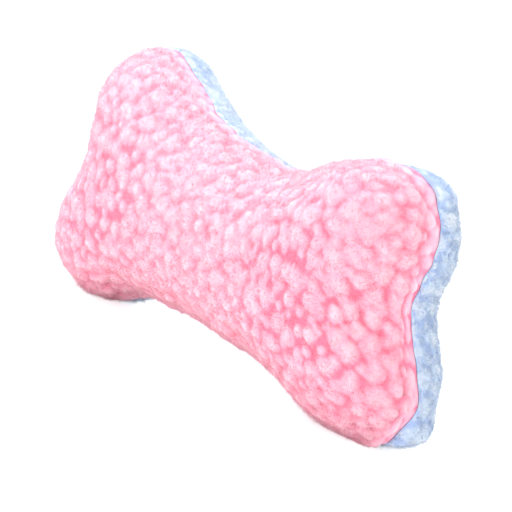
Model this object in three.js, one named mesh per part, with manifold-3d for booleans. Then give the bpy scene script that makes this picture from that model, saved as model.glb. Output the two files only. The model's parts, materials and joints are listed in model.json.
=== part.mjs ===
// A stuffed dog toy in the shape of a bone. A pink and a blue panel of berber fleece are sewn
// together right sides in, turned, stuffed with wads of fibrefill round a squeaker, and closed by
// hand at the lower waist. X runs along the bone, the pink front faces -Y and Z is up: the toy
// stands on the two lower lobes of its long edge, and its origin is under its middle.

import * as THREE from "three";
import { mergeVertices } from "three/addons/utils/BufferGeometryUtils.js";
import Module from "manifold-3d";

const wasm = await Module();
wasm.setup();

// Sewn outline of the bone, in millimetres like every other length.
const toyLength = 228;
const endHeight = 119; // across the two lobes of one end
const lobeRadius = 28;
const waistDepth = 18.5; // how far a long edge dips between its lobes
const notchDepth = 6.5; // how far an end dips between its lobes

// Stuffed depth of each panel, from the seam to the crown of the pile.
const frontEndCrown = 39.5;
const frontWaistCrown = 38;
const backEndCrown = 29.5;
const backWaistCrown = 25;
const valleyDepth = 3; // the shallow valley between the two lobes of an end
const frontFullness = 2.45; // an ellipse is 2, and a fuller edge is more
const backFullness = 2.1;

// How the sewn and stuffed toy leans and settles.
const bowDepth = 9; // both ends curve back from the waist
const twistDepth = 12;
const upperLobeLift = 7; // the upper lobes are stuffed harder than the lower ones
const leftLobeSpread = 3;
const rightLobeDraw = 9;
const rightLobeForward = 7;
const standPress = 3; // how far the pile under the lower lobes gives
const restCut = 0.5;

// Fleece and seam.
const fleeceThickness = 7; // knitted backing and curled pile
const creaseDepth = 5; // how far the seam is drawn in from the outline
const creaseHalfWidth = 4;
const allowanceThickness = 2.5; // pile pressed flat inside the seam
const seamAllowance = 8;
const threadDiameter = 0.6;
const clearance = 0.3;

// The pile's nubs. They grow from roots under the plain face of the fleece, and lie flatter near
// the seam and where the toy stands.
const nubSpacing = 10;
const frontNubHeight = 3.2;
const backNubHeight = 2.6;
const rootDepth = 2.4;
const seamFade = 9;
const standFade = 12;

// Hand-sewn closing at the lower waist.
const openingLength = 60;
const ladderPitch = 5;
const ladderHalfWidth = 1.4;
const ladderHeight = 1.7; // above the bottom of the crease

// Fibrefill and squeaker.
const middleWadLength = 110;
const bulbDiameter = 40;
const bulbHeight = 22;
const bulbWall = 1;
const neckBore = 8;
const neckWall = 1;
const neckHeight = 4;
const flangeDiameter = 13;
const flangeThickness = 1.2;
const whistleLength = 8;
const whistleBore = 4.4;
const reedThickness = 0.4;
const reedLength = 6;

// Shares of the sizes above, and step counts.
const spineShare = 0.62; // of the half length: the crown line from which the domes fall away
const valleyPlaceShare = 0.93; // of the way to the notch
const valleyLengthShare = 0.16; // of the half length
const valleyHeightShare = 0.43; // of the lobe centre's height
const lobeReachShare = 1.3; // of the lobe radius: how far a lobe's own lean spreads
const nubRadiusShares = [0.36, 0.54]; // of the nub spacing
const nubHeightShares = [0.75, 1]; // of the nub height
const nubStrayShare = 0.3; // of the nub spacing: how far a nub is off its place in the row
const nubBlend = 4; // the power by which neighbouring nubs run together
const sideShares = [0.982, 0.995, 1]; // rings between the nubs and the seam
const nubFieldShare = 0.5; // of the nub spacing: least way from a nub to the first of them
const waistSteps = 6;
const lobeSteps = 9;
const notchSteps = 3;
const sectionSteps = 4000;
const scatterStep = 12.9898; // radians of the sine from one number to the next
const scatterSpread = 43758.5453; // turns of the fraction over the sine's range
const farAway = 40 * toyLength; // the corners of the triangle that holds the whole flat map
const mapStray = 0.02; // keeps any four places of the flat map off one circle
const aside = 0.1; // of the way to the next point of the outline: the step for a slope
const inward = 1e-3; // of the share: the other step for a slope
const innerShares = [1, 0.97, 0.86, 0.66, 0.36, 0];
const threadSides = 5;
const latheSegments = 28;
const bulbSteps = 9;
const ladderStepsPerStitch = 4;
const overrun = 40; // of a cutting box past what it cuts

const halfLength = toyLength / 2;
const lobeX = halfLength - lobeRadius;
const lobeZ = endHeight / 2 - lobeRadius;
const waistZ = endHeight / 2 - waistDepth;
const notchX = halfLength - notchDepth;
const waistRadius =
  (lobeX ** 2 + (waistZ - lobeZ) ** 2 - lobeRadius ** 2) / (2 * waistDepth);
const notchRadius =
  ((notchX - lobeX) ** 2 + lobeZ ** 2 - lobeRadius ** 2) / (2 * notchDepth);
const spineHalf = spineShare * halfLength;
const innerInset = creaseDepth + allowanceThickness;
const allowanceInset = creaseDepth + seamAllowance;
const threadRadius = threadDiameter / 2;
const threadInset = (innerInset + allowanceInset) / 2;
const threadDepth = clearance / 2 + allowanceThickness + clearance + threadRadius;

const front = {
  sign: -1,
  nubHeight: frontNubHeight,
  rounded: true,
  endCrown: frontEndCrown,
  waistCrown: frontWaistCrown,
  fullness: frontFullness,
};
const back = {
  sign: 1,
  nubHeight: backNubHeight,
  rounded: false,
  endCrown: backEndCrown,
  waistCrown: backWaistCrown,
  fullness: backFullness,
};

// Points of an arc with their outward normals, without its last point. A hollow arc bends into
// the bone, so its outward normal points at its own centre.
function arc(centreX, centreZ, radius, from, to, steps, hollow) {
  return Array.from({ length: steps }, (_, k) => {
    const angle = from + ((to - from) * k) / steps;
    const x = Math.cos(angle);
    const z = Math.sin(angle);
    const outward = hollow ? -1 : 1;
    return {
      x: centreX + radius * x,
      z: centreZ + radius * z,
      nx: outward * x,
      nz: outward * z,
    };
  });
}

// The sewn outline: in each quarter a waist arc, a lobe arc and a notch arc that touch.
const waistCentreZ = waistZ + waistRadius;
const notchCentreX = notchX + notchRadius;
const waistTurn = Math.atan2(lobeX, waistCentreZ - lobeZ);
const notchTurn = Math.atan2(lobeZ, notchCentreX - lobeX);

function boneOutline() {
  const down = -Math.PI / 2;
  const quarter = [
    ...arc(0, waistCentreZ, waistRadius, down, down + waistTurn, waistSteps, true),
    ...arc(
      lobeX,
      lobeZ,
      lobeRadius,
      Math.PI / 2 + waistTurn,
      -notchTurn,
      lobeSteps,
      false,
    ),
    ...arc(
      notchCentreX,
      0,
      notchRadius,
      Math.PI - notchTurn,
      Math.PI,
      notchSteps,
      true,
    ),
    { x: notchX, z: 0, nx: 1, nz: 0 },
  ];
  const below = quarter
    .slice(0, -1)
    .reverse()
    .map((p) => ({ ...p, z: -p.z, nz: -p.nz }));
  const right = [...quarter, ...below];
  const left = right
    .slice(1, -1)
    .reverse()
    .map((p) => ({ ...p, x: -p.x, nx: -p.nx }));
  return [...right, ...left];
}

const outline = boneOutline();

// How near a point of the straight toy is to an upper lobe's centre, as a bell curve.
function nearLobe(lobe, x, z) {
  const reach = lobeReachShare * lobeRadius;
  return Math.exp(-((x - lobe) ** 2 + (z - lobeZ) ** 2) / reach ** 2);
}

// Height over the lowest level of the toy before it is pressed flat there.
function standHeight(x, z) {
  const lift = upperLobeLift * (nearLobe(-lobeX, x, z) + nearLobe(lobeX, x, z));
  return Math.max(z + lift + endHeight / 2, 0);
}

// Moves a point of the straight toy to where it is on the stuffed one: bowed along its length,
// twisted from end to end, its upper lobes leaning, and pressed flat where it stands.
function settle(x, y, z) {
  const along = x / halfLength;
  const up = z / halfLength;
  const left = nearLobe(-lobeX, x, z);
  const right = nearLobe(lobeX, x, z);
  return new THREE.Vector3(
    x - leftLobeSpread * left - rightLobeDraw * right,
    y + bowDepth * along ** 2 - twistDepth * along * up - rightLobeForward * right,
    (standHeight(x, z) ** 4 + standPress ** 4) ** 0.25 - endHeight / 2,
  );
}

// Height of a panel over the seam, at a share of the way from the spine (0) to the outline (1).
function domeHeight(side, x, z, share, drop) {
  const crown = THREE.MathUtils.lerp(
    side.waistCrown,
    side.endCrown,
    THREE.MathUtils.smoothstep(Math.abs(x), 0, spineHalf),
  );
  const fromValley = Math.hypot(
    (Math.abs(x) - valleyPlaceShare * notchX) / (valleyLengthShare * halfLength),
    z / (valleyHeightShare * lobeZ),
  );
  const valley = valleyDepth * Math.exp(-(fromValley ** 2)) * (1 - share ** 4);
  return (crown - drop) * Math.sqrt(1 - share ** side.fullness) - valley;
}

// Where the dome lies in plan: between a point of the spine and a point of the inset outline.
function domePlan(p, share, inset) {
  const turn = THREE.MathUtils.clamp(p.x / lobeX, -1, 1) * (Math.PI / 2);
  const spineX = spineHalf * Math.sin(turn);
  return {
    x: THREE.MathUtils.lerp(spineX, p.x - p.nx * inset, share),
    z: THREE.MathUtils.lerp(0, p.z - p.nz * inset, share),
  };
}

// A point of the fleece's plain outer face on the straight toy, drawn in at the seam.
function plainPoint(side, p, share) {
  const { x, z } = domePlan(p, share, 0);
  const height = domeHeight(side, x, z, share, 0);
  const drawn = creaseDepth * Math.exp(-((height / creaseHalfWidth) ** 2));
  const y = side.sign * (height + clearance / 2);
  return new THREE.Vector3(x - p.nx * drawn, y, z - p.nz * drawn);
}

// The length from the spine to the seam along a typical dome's section, in small steps.
function walkSection() {
  const width = (waistZ + endHeight / 2) / 2;
  const steps = [{ share: 0, run: 0 }];
  let height = frontWaistCrown;
  for (let k = 1; k <= sectionSteps; k += 1) {
    const last = steps[k - 1];
    const share = 1 - (1 - k / sectionSteps) ** 2;
    const next = frontWaistCrown * Math.sqrt(1 - share ** frontFullness);
    const run = last.run + Math.hypot((share - last.share) * width, height - next);
    steps.push({ share, run });
    height = next;
  }
  return steps;
}

const section = walkSection();
const sectionLength = section[sectionSteps].run;

// The share from the spine (0) to the outline (1) at a part of the section's length.
function shareAt(part) {
  const run = part * sectionLength;
  const k = Math.max(1, section.findIndex((step) => step.run >= run));
  const [low, high] = [section[k - 1], section[k]];
  const t = (run - low.run) / (high.run - low.run);
  return THREE.MathUtils.lerp(low.share, high.share, t);
}

// The part of the section's length that leads to a share.
function partAt(share) {
  return section.find((step) => step.share >= share).run / sectionLength;
}

// A steady value from 0 to 1 for each number that looks random beside its neighbours.
function scatter(number) {
  const value = Math.sin(number * scatterStep) * scatterSpread;
  return value - Math.floor(value);
}

// A place on a panel's plain outer face: its point and normal, and where it lies on a flat map
// on which every section from the spine to the seam is straight and evenly divided.
function facePlace(side, p, q, share) {
  const point = plainPoint(side, p, share);
  const across = plainPoint(side, p, share - inward).sub(point);
  const along = plainPoint(side, between(p, q, aside), share).sub(point);
  const normal = along.cross(across).multiplyScalar(side.sign).normalize();
  const turn = THREE.MathUtils.clamp(p.x / lobeX, -1, 1) * (Math.PI / 2);
  const part = partAt(share);
  const u = THREE.MathUtils.lerp(spineHalf * Math.sin(turn), p.x, part);
  return { point, normal, u, v: part * p.z };
}

// A point of the outline between two of its neighbours.
function between(a, b, t) {
  const keys = ["x", "z", "nx", "nz"];
  return Object.fromEntries(keys.map((key) => [key, THREE.MathUtils.lerp(a[key], b[key], t)]));
}

// A panel's nubs. They stand in staggered rows round the dome, each a little off its place.
function nubsOf(side) {
  const rows = Math.round(sectionLength / nubSpacing);
  const lobeTurn = Math.PI / 2 + waistTurn + notchTurn;
  const outlineLength =
    4 * (waistRadius * waistTurn + lobeRadius * lobeTurn + notchRadius * notchTurn);
  const size = outline.length;
  const nubs = [];
  for (let row = 0; row < rows; row += 1) {
    const rowShare = shareAt((row + 0.5) / rows);
    const ring = outline.map((p) => plainPoint(side, p, rowShare));
    const runs = [0];
    ring.forEach((point, i) => runs.push(runs[i] + point.distanceTo(ring[(i + 1) % size])));
    const length = THREE.MathUtils.lerp(4 * spineHalf, outlineLength, rowShare);
    const count = Math.round(length / nubSpacing);
    for (let place = 0; place < count; place += 1) {
      const [along, across, width, height] = [0, 1, 2, 3].map((k) =>
        scatter(4 * nubs.length + k),
      );
      const stray = (value) => nubStrayShare * (2 * value - 1);
      const part = (place + 1 + (row % 2) / 2 + stray(along)) / count;
      const run = (part % 1) * runs[size];
      const i = runs.findIndex((value) => value > run) - 1;
      const [a, b] = [outline[i], outline[(i + 1) % size]];
      const p = between(a, b, (run - runs[i]) / (runs[i + 1] - runs[i]));
      const share = shareAt((row + 0.5 + stray(across)) / rows);
      nubs.push({
        ...facePlace(side, p, b, share),
        part: (row + 0.5 + stray(across)) / rows,
        radius: nubSpacing * THREE.MathUtils.lerp(...nubRadiusShares, width),
        height: side.nubHeight * THREE.MathUtils.lerp(...nubHeightShares, height),
      });
    }
  }
  return nubs;
}

// Where a place of the plain face lies on the stuffed toy: lifted off the roots by the nubs,
// which are parabolas that run together.
function onPile(nubs, { point, normal }) {
  let sum = 0;
  for (const nub of nubs) {
    const away = nub.point.distanceToSquared(point) / nub.radius ** 2;
    if (away < 1) sum += (nub.height * (1 - away)) ** nubBlend;
  }
  const raised =
    (sum ** (1 / nubBlend) - rootDepth) *
    THREE.MathUtils.smoothstep(Math.abs(point.y), 0, seamFade) *
    THREE.MathUtils.smoothstep(standHeight(point.x, point.z), 0, standFade);
  const grown = point.clone().addScaledVector(normal, raised);
  return settle(grown.x, grown.y, grown.z);
}

// Delaunay triangles of places on the flat map, made by adding one place at a time.
function delaunay(places) {
  const stray = (number) => mapStray * scatter(number);
  const all = [
    ...places.map(({ u, v }, k) => ({ u: u + stray(2 * k), v: v + stray(2 * k + 1) })),
    { u: -farAway, v: -farAway },
    { u: farAway, v: -farAway },
    { u: 0, v: farAway },
  ];
  const size = places.length;
  let triangles = [[size, size + 1, size + 2]];
  const circles = ([i, j, k], place) => {
    const { u, v } = all[place];
    const rows = [all[i], all[j], all[k]].map((p) => [
      p.u - u,
      p.v - v,
      (p.u - u) ** 2 + (p.v - v) ** 2,
    ]);
    return new THREE.Matrix3().set(...rows.flat()).determinant() > 0;
  };
  for (let added = 0; added < size; added += 1) {
    const hit = triangles.filter((triangle) => circles(triangle, added));
    const edges = new Map();
    for (const [i, j, k] of hit) {
      for (const [from, to] of [[i, j], [j, k], [k, i]]) {
        if (!edges.delete(`${to} ${from}`)) edges.set(`${from} ${to}`, [from, to]);
      }
    }
    triangles = triangles.filter((triangle) => !hit.includes(triangle));
    for (const [from, to] of edges.values()) triangles.push([from, to, added]);
  }
  return triangles.filter((triangle) => Math.max(...triangle) < size);
}

// True where a triangle of the map lies inside the ring that closes the nubs' field.
function insideRing(corners, ring) {
  const mean = (key) => corners.reduce((sum, corner) => sum + corner[key], 0) / corners.length;
  const [u, v] = [mean("u"), mean("v")];
  let inside = false;
  ring.forEach((a, i) => {
    const b = ring[(i + 1) % ring.length];
    if (a.v > v !== b.v > v && u < a.u + ((v - a.v) / (b.v - a.v)) * (b.u - a.u)) {
      inside = !inside;
    }
  });
  return inside;
}

// The place in the middle of others.
function middleOf(places) {
  const point = new THREE.Vector3();
  const normal = new THREE.Vector3();
  for (const place of places) {
    point.addScaledVector(place.point, 1 / places.length);
    normal.add(place.normal);
  }
  return { point, normal: normal.normalize() };
}

// The pile's outer face inside the first side ring. The dips between the nubs lie in the middles
// of the triangles that join them. Every nub is a fan over the dips round it, and a rounded one
// has a brow on the way to each dip.
function nubField(side, nubs) {
  const ring = outline.map((p, i) =>
    facePlace(side, p, outline[(i + 1) % outline.length], sideShares[0]),
  );
  const reach = partAt(sideShares[0]) - (nubFieldShare * nubSpacing) / sectionLength;
  const places = [...ring, ...nubs.filter((nub) => nub.part < reach)];
  const settled = places.map((place) => onPile(nubs, place));
  const dips = new Map();
  const brows = new Map();
  for (const triangle of delaunay(places)) {
    const corners = triangle.map((k) => places[k]);
    if (!insideRing(corners, ring)) continue;
    const place = middleOf(corners);
    const dip = onPile(nubs, place);
    triangle.forEach((from, k) => {
      const brow = onPile(nubs, middleOf([corners[k], place]));
      dips.set(`${from} ${triangle[(k + 1) % 3]}`, { dip, brow });
      brows.set(`${triangle[(k + 2) % 3]} ${from}`, brow);
    });
  }
  const triangles = [];
  for (const [edge, { dip, brow }] of dips) {
    const [from, to] = edge.split(" ").map(Number);
    const other = dips.get(`${to} ${from}`)?.dip ?? settled[to];
    if (side.rounded && from >= ring.length) {
      const otherBrow = brows.get(`${to} ${from}`);
      triangles.push([settled[from], otherBrow, brow]);
      triangles.push([otherBrow, other, dip], [otherBrow, dip, brow]);
    } else {
      triangles.push([settled[from], other, dip]);
    }
  }
  return { triangles, rim: settled.slice(0, ring.length) };
}

// A ring of a face inside the fleece, and never nearer to the seam than the given height.
function innerRing(side, share, inset, drop, lowest) {
  return outline.map((p) => {
    const { x, z } = domePlan(p, share, inset);
    const height = Math.max(domeHeight(side, x, z, share, drop), lowest);
    return settle(x, side.sign * height, z);
  });
}

// A ring parallel to the outline at one height over the seam.
function flatRing(inset, y) {
  return outline.map((p) => settle(p.x - p.nx * inset, y, p.z - p.nz * inset));
}

// A mesh with shared corners and without the triangles that close up at a spine or a pole.
function welded(geometry) {
  const bare = geometry.clone();
  for (const name of ["normal", "uv"]) bare.deleteAttribute(name);
  const merged = mergeVertices(bare);
  const corners = merged.index.array;
  const kept = [];
  for (let k = 0; k < corners.length; k += 3) {
    const [a, b, c] = corners.subarray(k, k + 3);
    if (a !== b && b !== c && c !== a) kept.push(a, b, c);
  }
  merged.setIndex(kept);
  return merged;
}

// A closed surface through rings of points. It closes at a spine at both ends, or on its first
// ring where looped, or by loose triangles over its first ring. A turned one has its rings in
// the other order as seen from outside.
function ringSurface(rings, { looped = false, turned = false, lid = [] } = {}) {
  const size = rings[0].length;
  const positions = [...rings.flat(), ...lid.flat()].flatMap((p) => [p.x, p.y, p.z]);
  const indices = [];
  const last = looped ? rings.length : rings.length - 1;
  for (let k = 0; k < last; k += 1) {
    for (let i = 0; i < size; i += 1) {
      const a = k * size + i;
      const b = k * size + ((i + 1) % size);
      const c = ((k + 1) % rings.length) * size + ((i + 1) % size);
      const d = ((k + 1) % rings.length) * size + i;
      if (turned) indices.push(a, c, b, a, d, c);
      else indices.push(a, b, c, a, c, d);
    }
  }
  const first = rings.length * size;
  lid.flat().forEach((_, k) => indices.push(first + k));
  const geometry = new THREE.BufferGeometry();
  geometry.setAttribute(
    "position",
    new THREE.Float32BufferAttribute(positions, 3),
  );
  geometry.setIndex(indices);
  return welded(geometry);
}

// The same closed surface as a solid that can be joined and cut.
function solidOf(geometry) {
  const merged = welded(geometry);
  return new wasm.Manifold(
    new wasm.Mesh({
      numProp: 3,
      vertProperties: merged.attributes.position.array,
      triVerts: new Uint32Array(merged.index.array),
    }),
  );
}

// A solid's surface as a geometry.
function geometryOf(solid) {
  const mesh = solid.getMesh();
  const geometry = new THREE.BufferGeometry();
  geometry.setAttribute(
    "position",
    new THREE.BufferAttribute(mesh.vertProperties, 3),
  );
  geometry.setIndex(new THREE.BufferAttribute(mesh.triVerts, 1));
  geometry.computeVertexNormals();
  return geometry;
}

// A box between two corners, as a solid.
function boxSolid(low, high) {
  const size = new THREE.Vector3().subVectors(high, low);
  const centre = new THREE.Vector3().addVectors(low, high).multiplyScalar(0.5);
  const box = new THREE.BoxGeometry(size.x, size.y, size.z);
  return solidOf(box.translate(centre.x, centre.y, centre.z));
}

// One fleece shell: the pile's nubs, the side down to the seam, the allowance turned inwards
// along the seam, and the backing's face from there to the crown.
function panelSurface(side) {
  const seam = (side.sign * clearance) / 2;
  const nubs = nubsOf(side);
  const { triangles, rim } = nubField(side, nubs);
  const sideRing = (share) =>
    outline.map((p, i) =>
      onPile(nubs, facePlace(side, p, outline[(i + 1) % outline.length], share)),
    );
  const rings = [
    rim,
    ...sideShares.slice(1).map(sideRing),
    flatRing(allowanceInset, seam),
    flatRing(allowanceInset, seam + side.sign * allowanceThickness),
    ...innerShares.map((share) =>
      innerRing(
        side,
        share,
        innerInset,
        fleeceThickness,
        allowanceThickness + clearance / 2,
      ),
    ),
  ];
  const lid = side === back ? triangles.map((corners) => [...corners].reverse()) : triangles;
  return ringSurface(rings, { turned: side === back, lid });
}

// The stuffing as one body: it follows both backings and steps in round the allowances.
function stuffingSurface() {
  const inset = innerInset + clearance;
  const flange = threadDepth + threadRadius + clearance;
  const dome = (side) => [
    flatRing(threadInset, side.sign * flange),
    ...innerShares
      .slice(1)
      .map((share) =>
        innerRing(side, share, inset, fleeceThickness + clearance, flange),
      ),
  ];
  const step = (side) => flatRing(allowanceInset + clearance, side.sign * flange);
  const rings = [...dome(back).reverse(), step(back), step(front), ...dome(front)];
  return ringSurface(rings, { turned: true });
}

// A thread laid round the seam, on the inner face of one panel's allowance.
function seamThreadSurface(side) {
  const rings = Array.from({ length: threadSides }, (_, k) => {
    const angle = (2 * Math.PI * k) / threadSides;
    return flatRing(
      threadInset + threadRadius * Math.cos(angle),
      side.sign * threadDepth + threadRadius * Math.sin(angle),
    );
  });
  return ringSurface(rings, { looped: true, turned: true });
}

// The ladder stitch that closes the opening: it crosses the crease once in each pitch.
function closingThreadGeometry() {
  const stitches = Math.round(openingLength / ladderPitch);
  const inset = creaseDepth - ladderHeight;
  const points = Array.from({ length: stitches + 1 }, (_, k) => {
    const x = (k - stitches / 2) * (openingLength / stitches);
    const dip = waistRadius - Math.sqrt(waistRadius ** 2 - x ** 2);
    const y = k % 2 ? ladderHalfWidth : -ladderHalfWidth;
    return settle(x, y, -(waistZ - inset + dip));
  });
  const section = new THREE.Shape().absarc(0, 0, threadRadius, 0, 2 * Math.PI);
  return new THREE.ExtrudeGeometry(section, {
    extrudePath: new THREE.CatmullRomCurve3(points),
    steps: stitches * ladderStepsPerStitch,
    curveSegments: Math.ceil(threadSides / 2),
  });
}

// Height of the squeaker's neck rim over the bulb's middle.
const rimHeight = bulbHeight / 2 + neckHeight;
const neckOuterRadius = neckBore / 2 + neckWall;

// Points of a half ellipse of revolution, from the axis below up to where it is `stop` wide.
function bulbArc(radius, half, stop) {
  const to = Math.acos(stop / radius);
  return Array.from({ length: bulbSteps + 1 }, (_, k) => {
    const angle = THREE.MathUtils.lerp(-Math.PI / 2, to, k / bulbSteps);
    const across = k === 0 ? 0 : radius * Math.cos(angle);
    return new THREE.Vector2(across, half * Math.sin(angle));
  });
}

// The blown bulb: thin wall, open at its neck.
function bulbGeometry() {
  const outer = bulbArc(bulbDiameter / 2, bulbHeight / 2, neckOuterRadius);
  const inner = bulbArc(
    bulbDiameter / 2 - bulbWall,
    bulbHeight / 2 - bulbWall,
    neckBore / 2,
  );
  return new THREE.LatheGeometry(
    [
      ...outer,
      new THREE.Vector2(neckOuterRadius, rimHeight),
      new THREE.Vector2(neckBore / 2, rimHeight),
      ...inner.reverse(),
    ],
    latheSegments,
  );
}

// The whistle insert: a flange on the neck's rim and a bored barrel inside the neck.
function whistleGeometry() {
  const bore = whistleBore / 2;
  const barrel = neckBore / 2 - clearance;
  const seat = rimHeight + clearance;
  const top = seat + flangeThickness;
  const bottom = seat - whistleLength;
  const profile = [
    [bore, bottom],
    [barrel, bottom],
    [barrel, seat],
    [flangeDiameter / 2, seat],
    [flangeDiameter / 2, top],
    [bore, top],
    [bore, bottom],
  ];
  return new THREE.LatheGeometry(
    profile.map(([x, y]) => new THREE.Vector2(x, y)),
    latheSegments,
  );
}

// The reed: a thin strip across the bore, rounded at its free end.
function reedGeometry() {
  const reach = whistleBore / 2 - clearance;
  const halfWidth = Math.sqrt(reach ** 2 - (reedThickness / 2) ** 2);
  const bottom = rimHeight + clearance - whistleLength;
  const strip = new THREE.Shape();
  strip.moveTo(halfWidth, bottom + halfWidth);
  strip.lineTo(halfWidth, bottom + reedLength);
  strip.lineTo(-halfWidth, bottom + reedLength);
  strip.lineTo(-halfWidth, bottom + halfWidth);
  strip.absarc(0, bottom + halfWidth, halfWidth, Math.PI, 2 * Math.PI);
  const reed = new THREE.ExtrudeGeometry(strip, {
    depth: reedThickness,
    bevelEnabled: false,
    curveSegments: bulbSteps,
  });
  return reed.translate(0, 0, -reedThickness / 2);
}

// The space that the squeaker takes in the stuffing.
function pocketSolid() {
  const flangeRadius = flangeDiameter / 2 + clearance;
  const top = rimHeight + clearance + flangeThickness + clearance;
  const belly = bulbArc(
    bulbDiameter / 2 + clearance,
    bulbHeight / 2 + clearance,
    flangeRadius,
  );
  return solidOf(
    new THREE.LatheGeometry(
      [
        ...belly,
        new THREE.Vector2(flangeRadius, top),
        new THREE.Vector2(0, top),
      ],
      latheSegments,
    ),
  );
}

// Cuts the stuffing into four wads: one for each end, and two that hold the squeaker.
function wadSolids(squeakerY) {
  const body = solidOf(stuffingSurface());
  const reach = toyLength + overrun;
  const part = middleWadLength / 2;
  const gap = clearance / 2;
  const block = (fromX, toX, fromY, toY) =>
    boxSolid(
      new THREE.Vector3(fromX, fromY, -reach),
      new THREE.Vector3(toX, toY, reach),
    );
  const pocket = pocketSolid().translate([0, squeakerY, 0]);
  const middle = body.subtract(pocket);
  return {
    fill_left_end: body.intersect(block(-reach, -part - gap, -reach, reach)),
    fill_right_end: body.intersect(block(part + gap, reach, -reach, reach)),
    fill_middle_front: middle.intersect(
      block(-part + gap, part - gap, -reach, squeakerY - gap),
    ),
    fill_middle_back: middle.intersect(
      block(-part + gap, part - gap, squeakerY + gap, reach),
    ),
  };
}

const materials = {
  pinkFleece: { color: 0xfac5d9, roughness: 0.95, metalness: 0 },
  blueFleece: { color: 0xd0dcee, roughness: 0.95, metalness: 0 },
  fibrefill: { color: 0xf5f4ef, roughness: 1, metalness: 0 },
  bulbPlastic: { color: 0xefeee6, roughness: 0.45, metalness: 0 },
  whistlePlastic: { color: 0xdfe3e6, roughness: 0.35, metalness: 0 },
  thread: { color: 0xf6dce6, roughness: 0.8, metalness: 0 },
};

// A named piece in its own material.
function piece(name, geometry, finish) {
  const mesh = new THREE.Mesh(
    geometry,
    new THREE.MeshStandardMaterial(materials[finish]),
  );
  mesh.name = name;
  return mesh;
}

// The squeaker's three pieces, round their own middle, with the neck towards the blue back.
function squeakerGroup(y) {
  const group = new THREE.Group();
  group.add(
    piece("squeaker_bulb", bulbGeometry(), "bulbPlastic"),
    piece("squeaker_whistle", whistleGeometry(), "whistlePlastic"),
    piece("squeaker_reed", reedGeometry(), "whistlePlastic"),
  );
  group.position.y = y;
  return group;
}

// Both panels, cut flat where the toy stands, and the height of that flat.
function panelSolids() {
  const shells = [front, back].map((side) => solidOf(panelSurface(side)));
  const lowest = Math.min(...shells.map((s) => s.boundingBox().min[2]));
  const floor = lowest + restCut;
  const reach = toyLength + overrun;
  const below = boxSolid(
    new THREE.Vector3(-reach, -reach, floor - overrun),
    new THREE.Vector3(reach, reach, floor),
  );
  return { shells: shells.map((s) => s.subtract(below)), floor };
}

// The whole toy, with its origin on the floor under the middle of its box.
function boneToy() {
  const toy = new THREE.Group();
  const { shells, floor } = panelSolids();
  const [frontPanel, backPanel] = shells.map(geometryOf);
  const panels = new THREE.Group();
  panels.add(
    piece("front_panel", frontPanel, "pinkFleece"),
    piece("back_panel", backPanel, "blueFleece"),
  );
  toy.add(
    panels,
    piece("seam_needle_thread", seamThreadSurface(front), "thread"),
    piece("seam_bobbin_thread", seamThreadSurface(back), "thread"),
    piece("closing_thread", closingThreadGeometry(), "thread"),
  );
  const squeakerY = (backWaistCrown - frontWaistCrown) / 2;
  toy.add(squeakerGroup(squeakerY));
  for (const [name, solid] of Object.entries(wadSolids(squeakerY))) {
    toy.add(piece(name, geometryOf(solid), "fibrefill"));
  }
  const centre = new THREE.Box3()
    .setFromObject(panels)
    .getCenter(new THREE.Vector3());
  toy.position.set(-centre.x, -centre.y, -floor);
  return toy;
}

const group = new THREE.Group();
group.add(boneToy());

export default group;
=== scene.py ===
"""A stuffed dog toy in the shape of a bone, with its fleece, stuffing, threads and squeaker.

Every soft piece is first worked out on the straight toy, on rings that run from the crown line
over the domes to the sewn outline. A cloth simulation of the sewn cover under the stuffing's
pressure moves those rings a little, the curled pile is raised on them and leans to the front
along the seam, and settle() then bows, twists and presses everything as the toy stands on the
lower lobes of its long edge.
"""

import json
import math

import bmesh
import bpy
import numpy as np
from mathutils import Matrix, Vector

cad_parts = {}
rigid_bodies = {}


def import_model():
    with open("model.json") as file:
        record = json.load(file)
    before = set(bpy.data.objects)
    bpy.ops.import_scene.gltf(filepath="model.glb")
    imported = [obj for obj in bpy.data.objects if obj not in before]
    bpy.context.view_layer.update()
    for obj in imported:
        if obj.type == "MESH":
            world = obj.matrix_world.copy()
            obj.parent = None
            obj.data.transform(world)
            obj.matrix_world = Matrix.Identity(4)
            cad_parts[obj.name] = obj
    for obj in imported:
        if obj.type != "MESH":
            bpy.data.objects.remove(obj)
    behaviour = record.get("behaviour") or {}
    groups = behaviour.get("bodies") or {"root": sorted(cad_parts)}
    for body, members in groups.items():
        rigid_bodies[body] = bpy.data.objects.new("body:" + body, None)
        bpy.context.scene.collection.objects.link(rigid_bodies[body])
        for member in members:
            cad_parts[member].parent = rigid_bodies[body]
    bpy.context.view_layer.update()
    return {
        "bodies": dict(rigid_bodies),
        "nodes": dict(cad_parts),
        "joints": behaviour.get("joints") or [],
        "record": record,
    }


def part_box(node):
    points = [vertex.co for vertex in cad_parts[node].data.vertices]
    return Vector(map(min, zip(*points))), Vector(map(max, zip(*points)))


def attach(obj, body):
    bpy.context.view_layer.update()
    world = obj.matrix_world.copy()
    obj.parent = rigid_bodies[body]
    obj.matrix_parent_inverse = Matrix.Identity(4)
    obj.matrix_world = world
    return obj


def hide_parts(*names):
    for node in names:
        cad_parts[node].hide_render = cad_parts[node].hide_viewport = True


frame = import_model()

mm = 0.001

# Sewn outline of the bone.
toy_length = 228 * mm
end_height = 119 * mm
lobe_radius = 28 * mm
waist_depth = 18.5 * mm
notch_depth = 6.5 * mm

# The valley between the two lobes of an end.
valley_depth = 3 * mm

# How the sewn and stuffed toy leans and settles.
bow_depth = 9 * mm
twist_depth = 12 * mm
upper_lobe_lift = 7 * mm
left_lobe_spread = 3 * mm
right_lobe_draw = 9 * mm
right_lobe_forward = 7 * mm
stand_press = 3 * mm

# Fleece and seam.
fleece_thickness = 7 * mm
crease_depth = 5 * mm
crease_half_width = 4 * mm
allowance_thickness = 2.5 * mm
seam_allowance = 8 * mm
thread_diameter = 0.6 * mm
clearance = 0.3 * mm

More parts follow.
